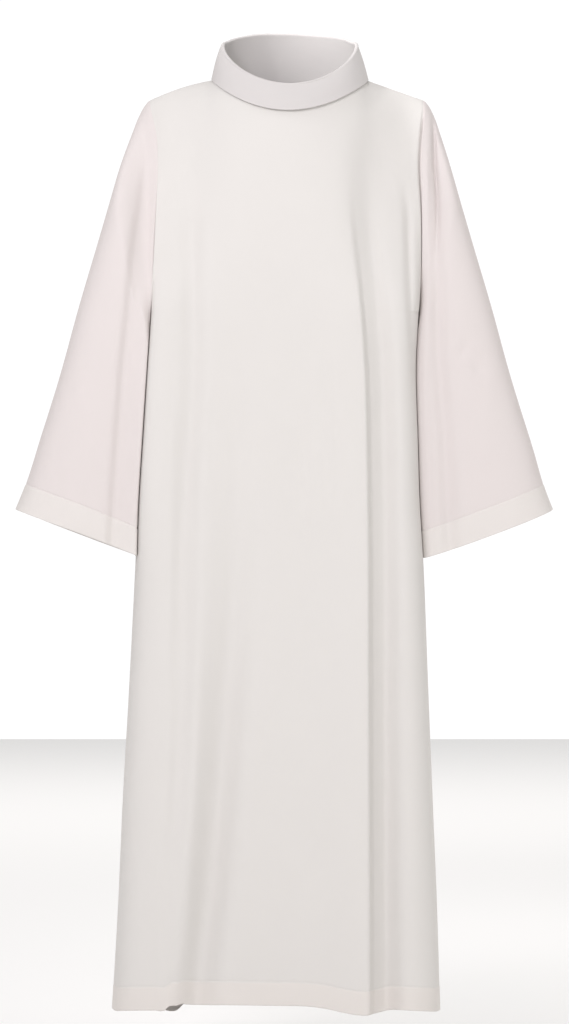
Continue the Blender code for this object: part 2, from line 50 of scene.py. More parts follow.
# the armhole's edge bows out from the side seam to the front and back: how far, and how round
# the foot of the bow is, for the left armhole and for the right one
ARMHOLE_BOW = {FRONT: ((0.1226, 0.05), (0.1041, 0.12)), BACK: ((0.108, 0.30), (0.108, 0.30))}
BOW_RISE = 0.55             # how soon below the shoulder the bow is full: less is sooner
# how square the left and right of each panel hang, at the chest and at the foot: 2 is an
# ellipse, more is boxier
SECTION_POWER = {FRONT: ((20.0, 7.0), (6.5, 7.4)), BACK: ((2.7, 3.0), (2.7, 3.0))}
SIDE_SHARE = 0.57           # less leaves fewer of a panel's columns for its sides
SEAM_PULL = 0.08            # share of its bow by which the front of the +X armhole is drawn in
PULL_REACH = 0.06           # how far from that edge, as a share of the half width
SHOULDER_RISE = 0.004       # the left shoulder seam is that much rounder than the right one
SHOULDER_FALL = 4.5         # how soon the cloth turns down from the shoulder seam
SHOULDER_ROUND = 0.62       # and how roundly: 1 is straight, less is rounder
NECK_SHARE = 0.62           # share of a panel's width that its neckline takes
NECK_LEAN = 0.0084          # the neck's middle stands this far to +X
FALL_EDGE = (0.125, 0.100)  # half width and half depth of the ring of the collar's lower edge
SEAM_INSET = 0.0055         # the neck seam lies this far inside that ring
FOOT_HEM = 0.037            # depth of the turned-up hem
HEM_CLOTH = 0.0017          # two layers and the turned-in edge
HEM_EDGE = 0.0006           # half the width of the step where the second layer starts
FOOT_GROOVE = (0.00045, 0.0014)     # depth and reach of the groove that the stitches pull
FOOT_STEP = 0.00035         # the doubled band stands out this much
EDGE_ROLL = 0.4             # how far a cut edge is rolled, as a share of the cloth
SHARP_EDGE = 62             # faces that meet at more degrees than this have a crease
PANEL_SLACK = {FRONT: 0.7, BACK: 2.9}   # where each panel's slight waves start

# height, half width, lean to +X, depth of the front, depth of the back
BODY = np.array([
    (-0.029, 0.2190, 0.0035, 0.096, 0.094), (-0.050, 0.2140, 0.0060, 0.099, 0.101),
    (-0.075, 0.2090, 0.0085, 0.103, 0.107), (-0.125, 0.2065, 0.0078, 0.109, 0.113),
    (-0.200, 0.2105, 0.0070, 0.116, 0.116), (-0.290, 0.2125, 0.0050, 0.121, 0.115),
    (-0.370, 0.2125, 0.0015, 0.122, 0.114), (-0.450, 0.2135, -0.0035, 0.122, 0.114),
    (-0.573, 0.2190, -0.0060, 0.124, 0.117), (-0.670, 0.2235, -0.0080, 0.127, 0.120),
    (-0.760, 0.2285, -0.0080, 0.130, 0.124), (-0.990, 0.2390, -0.0095, 0.139, 0.134),
    (-1.146, 0.2465, -0.0108, 0.145, 0.141), (-1.300, 0.2530, -0.0110, 0.151, 0.148),
    (-1.485, 0.2610, -0.0135, 0.158, 0.156)])
HEIGHT, HALF_WIDTH, LEAN, FRONT_DEPTH, BACK_DEPTH = range(5)

# the hem's height, by its place across the panel from -1 to 1
FRONT_HEM = [(-1, -1.474), (-0.98, -1.4755), (-0.94, -1.4745), (-0.85, -1.4730), (-0.73, -1.4722),
             (-0.668, -1.4712), (-0.650, -1.4660), (-0.600, -1.4650), (-0.572, -1.4625),
             (-0.550, -1.4635), (-0.3, -1.4640), (0, -1.4650), (0.20, -1.4660), (0.30, -1.4690),
             (0.40, -1.4745), (0.53, -1.4790), (0.62, -1.4765), (0.70, -1.4725), (0.80, -1.4725),
             (0.92, -1.4750), (0.98, -1.4765), (1, -1.4760)]
BACK_HEM = [(-1, -1.474), (-0.95, -1.481), (-0.85, -1.486), (-0.74, -1.4890), (-0.67, -1.4965),
            (-0.615, -1.4955), (-0.575, -1.486), (-0.45, -1.484), (0, -1.482), (0.3, -1.484),
            (0.56, -1.490), (0.75, -1.486), (1, -1.476)]

# The folds: kind, width and run.  A run goes through (height, x, how far it stands out), from
# the top down, and a hollow is below 0.  A pleat has one steep side, with a hollow beside it.
PLEAT, EVEN = "pleat", "even"
FRONT_FOLDS = [
    (PLEAT, 0.070, [(-0.06, 0.098, 0.0), (-0.15, 0.100, 0.0025), (-0.234, 0.104, 0.0065),
                    (-0.345, 0.116, 0.0115), (-0.424, 0.1225, 0.0135), (-0.66, 0.129, 0.0155),
                    (-1.00, 0.1305, 0.0185), (-1.49, 0.132, 0.0205)]),
    (EVEN, 0.040, [(-0.05, 0.145, 0.0), (-0.12, 0.145, -0.0055), (-0.20, 0.142, -0.0050),
                   (-0.32, 0.150, 0.0)]),
    (EVEN, 0.034, [(-0.18, 0.186, 0.0), (-0.45, 0.190, 0.004), (-0.90, 0.198, 0.005),
                   (-1.49, 0.206, 0.005)]),
    (PLEAT, 0.055, [(-0.45, -0.174, 0.0), (-0.62, -0.176, 0.0030), (-0.85, -0.179, 0.0045),
                    (-1.10, -0.183, 0.0045), (-1.30, -0.193, 0.0040), (-1.49, -0.198, 0.0030)]),
    (EVEN, 0.0095, [(-0.150, 0.195, 0.0), (-0.185, 0.196, -0.0050), (-0.27, 0.197, -0.0065),
                    (-0.35, 0.199, -0.0055), (-0.43, 0.204, -0.0035), (-0.50, 0.207, 0.0)]),
    (EVEN, 0.036, [(-0.38, -0.076, 0.0), (-0.54, -0.076, -0.0025), (-0.67, -0.076, -0.0055),
                   (-0.83, -0.079, -0.0110), (-0.985, -0.090, -0.0165),
                   (-1.143, -0.103, -0.0205), (-1.30, -0.118, -0.0225),
                   (-1.41, -0.131, -0.0210), (-1.49, -0.140, -0.0195)]),
    (EVEN, 0.026, [(-0.30, -0.123, 0.0), (-0.50, -0.124, 0.0020), (-0.67, -0.126, 0.0035),
                   (-0.985, -0.140, 0.0075), (-1.30, -0.163, 0.0095), (-1.49, -0.180, 0.0090)]),
    (EVEN, 0.022, [(-0.07, -0.148, 0.0), (-0.20, -0.148, -0.0065), (-0.35, -0.146, -0.0090),
                   (-0.55, -0.147, -0.0065), (-0.67, -0.159, -0.0050), (-0.95, -0.175, 0.0)]),
    (EVEN, 0.014, [(-0.38, 0.062, 0.0), (-0.48, 0.062, -0.0010), (-0.60, 0.062, -0.0010),
                   (-0.75, 0.062, 0.0)]),
    (EVEN, 0.014, [(-0.38, 0.081, 0.0), (-0.48, 0.081, 0.0009), (-0.60, 0.081, 0.0009),
                   (-0.75, 0.081, 0.0)]),
    (EVEN, 0.030, [(-0.45, 0.030, 0.0), (-0.65, 0.028, -0.0016), (-0.90, 0.022, -0.0014),
                   (-1.10, 0.018, 0.0)]),
]
BACK_FOLDS = [
    (EVEN, 0.085, [(-0.22, -0.070, 0.0), (-0.80, -0.085, 0.010), (-1.49, -0.120, 0.015)]),
    (EVEN, 0.060, [(-0.40, 0.020, 0.0), (-0.90, 0.018, 0.006), (-1.49, 0.022, 0.010)]),
    (PLEAT, 0.075, [(-0.18, 0.105, 0.0), (-0.80, 0.118, 0.009), (-1.49, 0.142, 0.014)]),
    (EVEN, 0.030, [(-0.35, -0.025, 0.0), (-0.80, -0.028, -0.0040), (-1.20, -0.040, -0.0070),
                   (-1.49, -0.046, -0.0070)]),
    (EVEN, 0.024, [(-0.30, -0.150, 0.0), (-0.80, -0.160, -0.0045), (-1.49, -0.186, -0.0060)]),
    (EVEN, 0.022, [(-0.25, 0.062, 0.0), (-0.60, 0.066, -0.0025), (-1.10, 0.078, -0.0045),
                   (-1.49, 0.084, -0.0050)]),
]


def curve(xs, ys, x):
    """A smooth curve through a table's points, read at x."""
    xs, ys, x = np.asarray(xs, float), np.asarray(ys, float), np.asarray(x, float)
    if xs[0] > xs[-1]:
        xs, ys = xs[::-1], ys[::-1]
    slope = np.gradient(ys, xs)
    i = np.clip(np.searchsorted(xs, x) - 1, 0, len(xs) - 2)
    span = xs[i + 1] - xs[i]
    q = np.clip((x - xs[i]) / span, 0, 1)
    return ((2 * q**3 - 3 * q**2 + 1) * ys[i] + (q**3 - 2 * q**2 + q) * span * slope[i]
            + (3 * q**2 - 2 * q**3) * ys[i + 1] + (q**3 - q**2) * span * slope[i + 1])


def body(column, height):
    """A size of the robe's body at a height."""
    return curve(BODY[:, HEIGHT], BODY[:, column], height)


def ease(x, start, end):
    """From 0 at start to 1 at end, with a soft beginning and end."""
    q = np.clip((x - start) / (end - start), 0, 1)
    return q * q * (3 - 2 * q)


def section_power(side, right, height):
    """How square a panel hangs; right is 0 on its left half and 1 on its right half."""
    (left_chest, left_foot), (right_chest, right_foot) = SECTION_POWER[side]
    chest = left_chest + (right_chest - left_chest) * right
    foot = left_foot + (right_foot - left_foot) * right
    return chest + (foot - chest) * ease(-height, 0.50, 0.85)


def unit(vectors):
    """The same directions, one long."""
    return vectors / np.maximum(np.linalg.norm(vectors, axis=-1, keepdims=True), 1e-12)


def neck_height(along):
    """Height of the neck seam; along runs from -1 at the front to 1 at the back."""
    return 0.004 + 0.012 * along - np.where(along < 0, 0.0400, 0.0130) * along**2


def ring(size, turn):
    """Plan of the neck's rings; turn is 0 at the front and pi at the back."""
    return np.stack([NECK_LEAN + size[0] * np.sin(turn), -size[1] * np.cos(turn)], axis=-1)


def ring_outward(turn):
    """The way straight out from the neck's rings, in plan."""
    return unit(np.stack([np.sin(turn) / FALL_EDGE[0], -np.cos(turn) / FALL_EDGE[1]], axis=-1))


def top_line(side, across):
    """Upper edge of a panel: shoulder seam, neckline, shoulder seam."""
    turn = np.clip(across / NECK_SHARE, -1, 1) * np.pi / 2
    turn = turn if side == FRONT else np.pi - turn
    seam = ring(FALL_EDGE, turn) - SEAM_INSET * ring_outward(turn)
    neck_z = neck_height(-np.cos(turn))
    out = np.clip((np.abs(across) - NECK_SHARE) / (1 - NECK_SHARE), 0, 1)
    tip_x = BODY[0, LEAN] + np.sign(across) * BODY[0, HALF_WIDTH]
    x = seam[..., 0] + (tip_x - seam[..., 0]) * out
    rise = SHOULDER_RISE * np.sin(np.pi * out) * (across < 0)
    return x, seam[..., 1] * (out == 0), neck_z + (SHOULDER_TIP - neck_z) * out + rise


def fold_shape(kind, q):
    """A fold's section; q is the distance from its crest as a share of its width."""
    if kind == EVEN:
        return np.exp(-q**2 * 2)
    gentle = np.exp(-(np.minimum(q, 0) * 0.9)**2)
    steep = 1 - 0.8 * ease(q, 0, 0.14) - 1.05 * ease(q, 0, 0.45) + 0.8 * ease(q, 0.38, 0.85)
    return np.where(q < 0, gentle, steep)


def follow(run, height):
    """The place and the depth of a fold at a height."""
    z, place, out = np.array(run).T
    height = np.clip(height, z[-1], z[0])
    return curve(z, place, height), curve(z, out, height)


def fold_height(folds, x, height):
    """How far the folds stand out of a panel, at x across it and a height."""
    total = np.zeros(x.shape)
    for kind, width, run in folds:
        middle, out = follow(run, height)
        total += out * fold_shape(kind, (x - middle) / width)
    return total


def slack(x, height, start):
    """The cloth's own slight waves, long down the robe and short across it."""
    total = 0
    for n, (across, down, size) in enumerate([(23, 3.1, 0.0007), (41, 5.3, 0.00045),
                                              (67, 8.9, 0.00025), (13, 2.3, 0.0009)]):
        turn = start * (n + 1.7)
        total = total + size * (np.sin(across * x + turn + 1.3 * np.sin(down * height + turn))
                                * np.cos(down * height - 0.6 * turn))
    return total


def round_panel(across, power):
    """Place across a panel and share of its depth there, along a rounded square."""
    angle = across * np.pi / 2
    beside, ahead = SIDE_SHARE * np.abs(np.sin(angle)), np.abs(np.cos(angle))
    size = (beside**power + ahead**power)**(-1 / power)
    return np.sign(across) * beside * size, ahead * size


def panel_surface(side, across, down):
    """Outer face of a panel.  down is 0 at the top, 1 at the underarm and 2 at the hem."""
    top_x, top_y, top_z = top_line(side, across)
    yoke = np.clip(down, 0, 1)
    skirt = np.clip(down - 1, 0, 1)
    rough_height = UNDERARM + (BODY[-1, HEIGHT] - UNDERARM) * skirt
    power = section_power(side, ease(across, -0.5, 0.5), rough_height)
    place, rim = round_panel(across, 2 + (power - 2) * ease(yoke, 0.3, 1))
    # the hem's ups and downs die out up the skirt
    hem = curve(*np.array(FRONT_HEM if side == FRONT else BACK_HEM).T, place)
    even_hem = np.mean(hem)
    level_hem = even_hem + (hem - even_hem) * skirt**3
    z = top_z + (UNDERARM - top_z) * yoke + (level_hem - UNDERARM) * skirt
    turned = (1 - (1 - yoke)**SHOULDER_FALL)**SHOULDER_ROUND
    x = body(LEAN, z) + body(HALF_WIDTH, z) * place
    x = top_x + (x - top_x) * turned
    near_edge = turned + (1 - turned) * np.abs(across)**8
    # near the shoulder the section is flatter than a rounded square
    flat_rim = 1 - np.abs(place)**3
    rim = flat_rim + (rim - flat_rim) * ease(yoke, 0.4, 1)
    reach = body(FRONT_DEPTH if side == FRONT else BACK_DEPTH, z)
    depth = np.abs(top_y) * (1 - turned) + reach * rim * turned
    # the armhole's bow carries the panel's side out with it
    fullest, foot = [np.where(across < 0, *pair) for pair in zip(*ARMHOLE_BOW[side])]
    bow = fullest * yoke**BOW_RISE * (1 - yoke)**foot
    drawn_in = SEAM_PULL * np.exp(-((1 - place) / PULL_REACH)**2) * (side == FRONT)
    bow = bow * (1 - rim**4) * near_edge * (1 - drawn_in)
    depth = (depth**3 + bow**3)**(1 / 3)
    folds = FRONT_FOLDS if side == FRONT else BACK_FOLDS
    hung = ease(rim, 0, 0.35)
    depth += fold_height(folds, x, z) * hung
    depth += slack(x, z, PANEL_SLACK[side]) * hung * ease(yoke, 0.05, 0.3)
    return np.stack([x, side * depth, z], axis=-1)


def smoothed(grid, down, passes=16):
    """The panel with the neck's corners eased out below the shoulder seam."""
    even = grid.copy()
    for _ in range(passes):
        even[:, 1:-1] = even[:, 1:-1] / 2 + (even[:, :-2] + even[:, 2:]) / 4
    share = ease(down, 0.001, 0.05) * (1 - ease(down, 0.4, 0.7))
    return grid + (even - grid) * share[..., None]


def tight_seam(points):
    """Where the front of the armhole seam on the +X side draws the cloth in more."""
    return ((points[..., 0] > 0) * ease(-points[..., 2], 0.04, 0.08)
            * (1 - ease(-points[..., 2], 0.27, 0.32)))


def ditch_way(points, normal):
    """Which way is out of a seam: straight to the front or back, but up or out near y = 0."""
    level = np.zeros(points.shape)
    level[..., 1] = np.sign(points[..., 1])
    share = ease(np.abs(points[..., 1]), 0.004, 0.030)[..., None]
    return unit(normal * (1 - share) + level * share)


def crowded(start, end, count, spots=()):
    """Places from start to end, closer together near each (middle, reach, strength) spot."""
    x = np.linspace(start, end, 4001)
    density = 1 + sum(strength * np.exp(-((x - middle) / reach)**2)
                      for middle, reach, strength in spots)
    total = np.concatenate([[0], np.cumsum((density[1:] + density[:-1]) / 2)])
    return np.interp(np.linspace(0, total[-1], count), total, x)


def lengths(grid, axis):
    """How far each point of a grid is along its row or column, over the cloth."""
    step = np.linalg.norm(np.diff(grid, axis=axis), axis=-1)
    start = np.zeros_like(np.take(step, [0], axis=axis))
    return np.cumsum(np.concatenate([start, step], axis=axis), axis=axis)


def outward(grid, closed=False):
    """Unit normals of a grid of points, rows down and columns across."""
    if closed:
        across = np.roll(grid, -1, axis=1) - np.roll(grid, 1, axis=1)
    else:
        across = np.gradient(grid, axis=1)
    return unit(np.cross(np.gradient(grid, axis=0), across))


def hem_relief(from_hem, hem_depth, groove, step):
    """How far the cloth stands out near a turned-up hem, and how thick it is there.  A row of
    stitches pulls a shallow groove, and below it the doubled band stands out a little."""
    groove_depth, groove_reach = groove
    pulled_in = groove_depth * np.exp(-((from_hem - hem_depth) / groove_reach)**2)
    stands = step * ease(hem_depth - from_hem, 0, 0.003)
    doubled = ease(hem_depth - from_hem, -HEM_EDGE, HEM_EDGE)
    return stands - pulled_in, CLOTH + (HEM_CLOTH - CLOTH) * doubled


def shell_faces(rows, columns, closed):
    """The faces of an outer grid, an inner one and the rolled edges between them, and the row
    and the column of each of their corners."""
    index = np.arange(rows * columns).reshape(rows, columns)
    inner_index = index + rows * columns
    top = 2 * rows * columns + np.arange(columns)
    foot = top + columns
    here = np.arange(columns if closed else columns - 1)
    beside = (here + 1) % columns
    faces, corners = [], []

    def strip(upper, lower, upper_row, lower_row, flip=False):
        quad = np.stack([upper[here], lower[here], lower[beside], upper[beside]], axis=1)
        place = np.stack([(np.full(len(here), row), column) for row, column in (
            (upper_row, here), (lower_row, here), (lower_row, here + 1), (upper_row, here + 1))],
            axis=2)
        faces.append(quad[:, ::-1] if flip else quad)
        corners.append(place[:, :, ::-1] if flip else place)

    for r in range(rows - 1):
        strip(index[r], index[r + 1], r, r + 1)
        strip(inner_index[r], inner_index[r + 1], r, r + 1, flip=True)
    strip(top, index[0], 0, 0)
    strip(inner_index[0], top, 0, 0)
    strip(index[-1], foot, rows - 1, rows - 1)
    strip(foot, inner_index[-1], rows - 1, rows - 1)
    if not closed:
        for c, flip in ((0, False), (columns - 1, True)):
            quad = np.stack([index[:-1, c], inner_index[:-1, c], inner_index[1:, c],
                             index[1:, c]], axis=1)
            faces.append(quad[:, ::-1] if flip else quad)
            corners.append(np.stack(np.divmod(faces[-1] % (rows * columns), columns)))
    return np.concatenate(faces), *np.concatenate(corners, axis=1)


def shell(name, outer, inner, material, closed=False, hem=None):
    """A shell of cloth between two grids, with rolled edges and a map in metres of cloth.
    hem is the first row of the turned-up hem and its material."""
    rows, columns = outer.shape[:2]
    wrap = np.concatenate([outer, outer[:, :1]], axis=1) if closed else outer
    across, down = lengths(wrap, 1), lengths(wrap, 0)
    across = across - across[:, columns // 2:columns // 2 + 1]
    thick = np.linalg.norm(outer - inner, axis=-1, keepdims=True)
    # one more row in the middle of each edge makes it a rolled one
    edges = [(outer[r] + inner[r]) / 2 + unit(outer[r] - outer[inside]) * thick[r] * EDGE_ROLL
             for r, inside in ((0, 1), (-1, -2))]
    points = np.concatenate([outer.reshape(-1, 3), inner.reshape(-1, 3), *edges])
    faces, rows_of, columns_of = shell_faces(rows, columns, closed)
    uv = np.stack([across[rows_of, columns_of], -down[rows_of, columns_of]], axis=-1)
    # the faces look out of the cloth
    a, b, c = points[faces[0, :3]]
    if np.dot(np.cross(b - a, c - b), (outer - inner)[0, 0]) < 0:
        faces, uv = faces[:, ::-1], uv[:, ::-1]
    mesh = bpy.data.meshes.new(name)
    mesh.from_pydata(points.tolist(), [], faces.tolist())
    layer = mesh.uv_layers.new(name="cloth_map")
    layer.data.foreach_set("uv", uv.reshape(-1).astype(np.float32))
    mesh.shade_smooth()
    mesh.set_sharp_from_angle(angle=np.radians(SHARP_EDGE))
    mesh.materials.append(material)
    if hem:
        first_row, hem_material = hem
        mesh.materials.append(hem_material)
        in_hem = (rows_of.min(axis=1) >= first_row).astype(np.int32)
        mesh.polygons.foreach_set("material_index", in_hem)
    thing = bpy.data.objects.new(name, mesh)
    bpy.context.scene.collection.objects.link(thing)
    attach(thing, "root")
    return thing


def cloth_finish(name, colour):
    """Polyester crepe: a fine plain weave with a pebbled, slightly uneven face."""
    material = bpy.data.materials.new(name)
    material.use_nodes = True
    nodes, links = material.node_tree.nodes, material.node_tree.links
    shader = nodes["Principled BSDF"]
    shader.inputs["Specular IOR Level"].default_value = 0.25
    shader.inputs["Sheen Weight"].default_value = 0.10
    shader.inputs["Sheen Roughness"].default_value = 0.45
    shader.inputs["Sheen Tint"].default_value = (1.0, 0.97, 0.95, 1)
    cloth_map = nodes.new("ShaderNodeUVMap")
    cloth_map.uv_map = "cloth_map"

    def noise(scale, detail, stretch=(1, 1, 1)):
        scaled = nodes.new("ShaderNodeMapping")
        scaled.inputs["Scale"].default_value = stretch
        links.new(cloth_map.outputs["UV"], scaled.inputs["Vector"])
        made = nodes.new("ShaderNodeTexNoise")
        made.inputs["Scale"].default_value = scale
        made.inputs["Detail"].default_value = detail
        links.new(scaled.outputs["Vector"], made.inputs["Vector"])
        return made.outputs["Fac"]

    def threads(direction):
        made = nodes.new("ShaderNodeTexWave")
        made.bands_direction = direction
        made.inputs["Scale"].default_value = 0.314159 / THREAD_PITCH
        made.inputs["Distortion"].default_value = 1.2
        made.inputs["Detail Scale"].default_value = 0.12
        links.new(cloth_map.outputs["UV"], made.inputs["Vector"])
        return made.outputs["Fac"]

    def combine(operation, a, b):
        made = nodes.new("ShaderNodeMath")
        made.operation = operation
        for socket, value in zip(made.inputs, (a, b)):
            if isinstance(value, float):
                socket.default_value = value
            else:
                links.new(value, socket)
        return made.outputs["Value"]

    weave = combine("ADD", combine("MULTIPLY", threads("X"), threads("Y")),
                    combine("MULTIPLY", noise(900, 2), 1.3))
    bump = nodes.new("ShaderNodeBump")
    bump.inputs["Strength"].default_value = 0.35
    bump.inputs["Distance"].default_value = 0.00012
    links.new(weave, bump.inputs["Height"])
    links.new(bump.outputs["Normal"], shader.inputs["Normal"])

    # slightly uneven yarn: faint long streaks both ways, and soft clouds
    streaks = combine("ADD", noise(1, 1, (1500, 45, 1)), noise(1, 1, (45, 1500, 1)))
    uneven = combine("ADD", combine("MULTIPLY", streaks, 0.35), combine("MULTIPLY", noise(14, 3), 0.3))
    shade = nodes.new("ShaderNodeMix")
    shade.data_type = "RGBA"
    shade.inputs["A"].default_value = (*[c * 0.975 for c in colour], 1)
    shade.inputs["B"].default_value = (*[min(1, c * 1.025) for c in colour], 1)
    links.new(uneven, shade.inputs["Factor"])
    links.new(shade.outputs["Result"], shader.inputs["Base Color"])
    rough = nodes.new("ShaderNodeMapRange")
    rough.inputs["To Min"].default_value = 0.74
    rough.inputs["To Max"].default_value = 0.86
    links.new(weave, rough.inputs["Value"])
    links.new(rough.outputs["Result"], shader.inputs["Roughness"])
    return material


THREAD_PITCH = 0.00042      # from one thread of the weave to the next
body_cloth = cloth_finish("ivory_crepe_body", (0.637, 0.615, 0.588))
# the doubled hem lets less light through, so it is a little lighter
foot_cloth = cloth_finish("ivory_crepe_foot", (0.662, 0.626, 0.592))

# columns are closer together at the pleat, the left trough, the corners and the edges, and
# rows at the shoulder, the underarm, the hem's stitches and its edge
panel_columns = crowded(-1, 1, 194, [
    (0.53, 0.05, 2.0), (-0.42, 0.10, 0.8), (0.70, 0.035, 3.0), (1, 0.025, 4), (-1, 0.025, 4),
    (-0.67, 0.02, 6.0)])
yoke_rows = (1 - np.cos(np.pi * np.linspace(0, 1, 62))) / 2
hem_line = 1 - FOOT_HEM / (UNDERARM - BODY[-1, HEIGHT])
skirt_rows = crowded(0, 1, 172, [(hem_line, 0.004, 5), (1, 0.002, 5)])[1:]
hem_row = len(yoke_rows) + int(np.searchsorted(skirt_rows, hem_line))
across, down = np.meshgrid(panel_columns, np.concatenate([yoke_rows, 1 + skirt_rows]))

panels = {}
for side, name, node in ((FRONT, "front_panel", "body_front"), (BACK, "back_panel", "body_back")):
    outer = smoothed(panel_surface(side, across, down), down)
    normal = outward(outer)
    normal *= np.sign(side * normal[-1, len(panel_columns) // 2, 1])
    # the shoulder and side edges lie in the plane where the two panels meet
    normal[0, np.abs(panel_columns) > NECK_SHARE, 1] = 0
    normal[len(yoke_rows) - 1:, [0, -1], 1:] = 0
    normal = unit(normal)
    # seams: the side and armhole edges, and the shoulder edge outside the neckline
    from_side = np.minimum(lengths(outer, 1), lengths(outer[:, ::-1], 1)[:, ::-1])
    from_top = lengths(outer, 0)
    pulled = tight_seam(outer) * (side == FRONT)
    reach = SEAM_REACH * (1 + 0.6 * pulled)
    ditch = SEAM_DITCH * np.exp(-(from_side / reach)**2) * (1 + TIGHT_DITCH * pulled)
    ditch = np.maximum(ditch, SEAM_DITCH * np.exp(-(from_top / SEAM_REACH)**2)
                       * (np.abs(panel_columns) > NECK_SHARE))
    relief, thick = hem_relief(from_top[-1:] - from_top, FOOT_HEM, FOOT_GROOVE, FOOT_STEP)
    outer = outer + normal * relief[..., None] - ditch_way(outer, normal) * ditch[..., None]
    inner = outer - normal * thick[..., None]
    for grid in (outer, inner):
        grid[..., 1] = side * np.maximum(side * grid[..., 1], SEAM_GAP / 2)
    panels[side] = shell(name, outer, inner, body_cloth, hem=(hem_row, foot_cloth))
    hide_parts(node)

# ============================================================ stitches of the foot hem
# The foot is turned up 37 mm and held by one row of lockstitch in ivory polyester thread,
# about six stitches to 25 mm.  Each stitch lies in the groove that it pulls.
THREAD = 0.00013            # half the thread's thickness
STITCH = 0.0026             # length of a stitch that shows
STITCH_STEP = 0.0041        # from one stitch to the next
STITCH_ARCH = (2.6, -1.2)   # height of its middle over its ends, and of its ends, in threads
STITCH_RINGS = 5            # rings along a stitch
STITCH_SIDES = 5            # points round a ring


def thread_finish(name, colour):
    """Polyester sewing thread with a fine twist."""
    material = bpy.data.materials.new(name)
    material.use_nodes = True
    nodes, links = material.node_tree.nodes, material.node_tree.links
    shader = nodes["Principled BSDF"]
    shader.inputs["Roughness"].default_value = 0.5
    shader.inputs["Sheen Weight"].default_value = 0.15
    place = nodes.new("ShaderNodeTexCoord")
    twist = nodes.new("ShaderNodeTexWave")
    twist.bands_direction = "DIAGONAL"
    twist.inputs["Scale"].default_value = 900
    links.new(place.outputs["Object"], twist.inputs["Vector"])
    shade = nodes.new("ShaderNodeMix")
    shade.data_type = "RGBA"
    shade.inputs["A"].default_value = (*[c * 0.93 for c in colour], 1)
    shade.inputs["B"].default_value = (*colour, 1)
    links.new(twist.outputs["Fac"], shade.inputs["Factor"])
    links.new(shade.outputs["Result"], shader.inputs["Base Color"])
    bump = nodes.new("ShaderNodeBump")
    bump.inputs["Strength"].default_value = 0.4
    bump.inputs["Distance"].default_value = 0.00005
    links.new(twist.outputs["Fac"], bump.inputs["Height"])
    links.new(bump.outputs["Normal"], shader.inputs["Normal"])
    return material


def stitch_row(name, line, normals, material):
    """Small arched stitches along a line of points, lying on the cloth."""
    far = lengths(line[None], 1)[0]
    points, faces = [], []
    for start in np.arange(0.002, far[-1] - STITCH, STITCH_STEP):
        middles = []
        for q in np.linspace(0, 1, STITCH_RINGS):
            at = start + STITCH * q
            centre = np.array([np.interp(at, far, line[:, k]) for k in range(3)])
            out = unit(np.array([np.interp(at, far, normals[:, k]) for k in range(3)]))
            lift = STITCH_ARCH[0] * np.sin(np.pi * q) + STITCH_ARCH[1]
            middles.append((centre + out * THREAD * lift, out))
        way = unit(middles[-1][0] - middles[0][0])
        rings = len(points) + np.arange(STITCH_RINGS * STITCH_SIDES).reshape(-1, STITCH_SIDES)
        for centre, out in middles:
            beside = unit(np.cross(way, out))
            for turn in np.arange(STITCH_SIDES) * 2 * np.pi / STITCH_SIDES:
                points.append(centre + THREAD * (np.cos(turn) * out + np.sin(turn) * beside))
        for ring_here, ring_next in zip(rings[:-1], rings[1:]):
            faces += np.stack([ring_here, np.roll(ring_here, -1), np.roll(ring_next, -1),
                               ring_next], axis=1).tolist()
        faces += [rings[0, ::-1].tolist(), rings[-1].tolist()]
    mesh = bpy.data.meshes.new(name)
    mesh.from_pydata([tuple(p) for p in points], [], faces)
    mesh.shade_smooth()
    mesh.materials.append(material)
    thing = bpy.data.objects.new(name, mesh)
    bpy.context.scene.collection.objects.link(thing)
    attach(thing, "root")
    return thing


robe_thread = thread_finish("ivory_thread", (0.78, 0.735, 0.705))
for side, name in ((FRONT, "front_foot_stitches"), (BACK, "back_foot_stitches")):
    mesh = panels[side].data
    points = np.empty(len(mesh.vertices) * 3)
    mesh.vertices.foreach_get("co", points)
    outer = points[:across.size * 3].reshape(*across.shape, 3)
    normal = outward(outer)
    normal *= np.sign(side * normal[-1, len(panel_columns) // 2, 1])
    from_top = lengths(outer, 0)
    from_hem = from_top[-1:] - from_top
    line, ways = [], []
    for c in range(outer.shape[1]):
        line.append([np.interp(-FOOT_HEM, -from_hem[:, c], outer[:, c, k]) for k in range(3)])
        ways.append([np.interp(-FOOT_HEM, -from_hem[:, c], normal[:, c, k]) for k in range(3)])
    stitch_row(name, np.array(line), np.array(ways), robe_thread)

# ============================================================ sleeves
# Two wide bell sleeves of the same crepe, each cut in one piece with a seam under the arm,
# and sewn into the armholes.  They hang close beside the body and widen to the cuff.
LEFT, RIGHT = -1, 1
SLEEVE_GAP = 0.0003         # space between the hanging sleeve and the robe's side
SLEEVE_LEAN = 0.0015        # both sleeves' top edges are moved this much to the robe's right
CUFF_INNER = {LEFT: -0.757, RIGHT: -0.760}  # height of the cuff where it is nearest the robe
SLEEVE_SET_BACK = {LEFT: -0.010, RIGHT: 0.002}  # how far the sleeve hangs behind the side seam
CUFF_HEM = 0.043            # depth of the cuff's hem
CUFF_GROOVE = (0.00050, 0.0015)     # depth and reach of the groove that its stitches pull
CUFF_STEP = 0.00045         # its doubled band stands out this much
# how much lower the cuff hangs in the middle of its front and of its back
CUFF_DIP = {LEFT: (0.000, 0.003), RIGHT: (0.005, 0.007)}
# the sleeve's top edge from the shoulder to the cuff: distance from the robe's middle, height
SLEEVE_TOP_EDGE = np.array([
    (0.2190, -0.029), (0.2265, -0.038), (0.2365, -0.057), (0.2460, -0.083), (0.2575, -0.117),
    (0.2810, -0.198), (0.2970, -0.253), (0.3280, -0.358), (0.3600, -0.474), (0.3900, -0.570),
    (0.4140, -0.645), (0.4295, -0.683)])
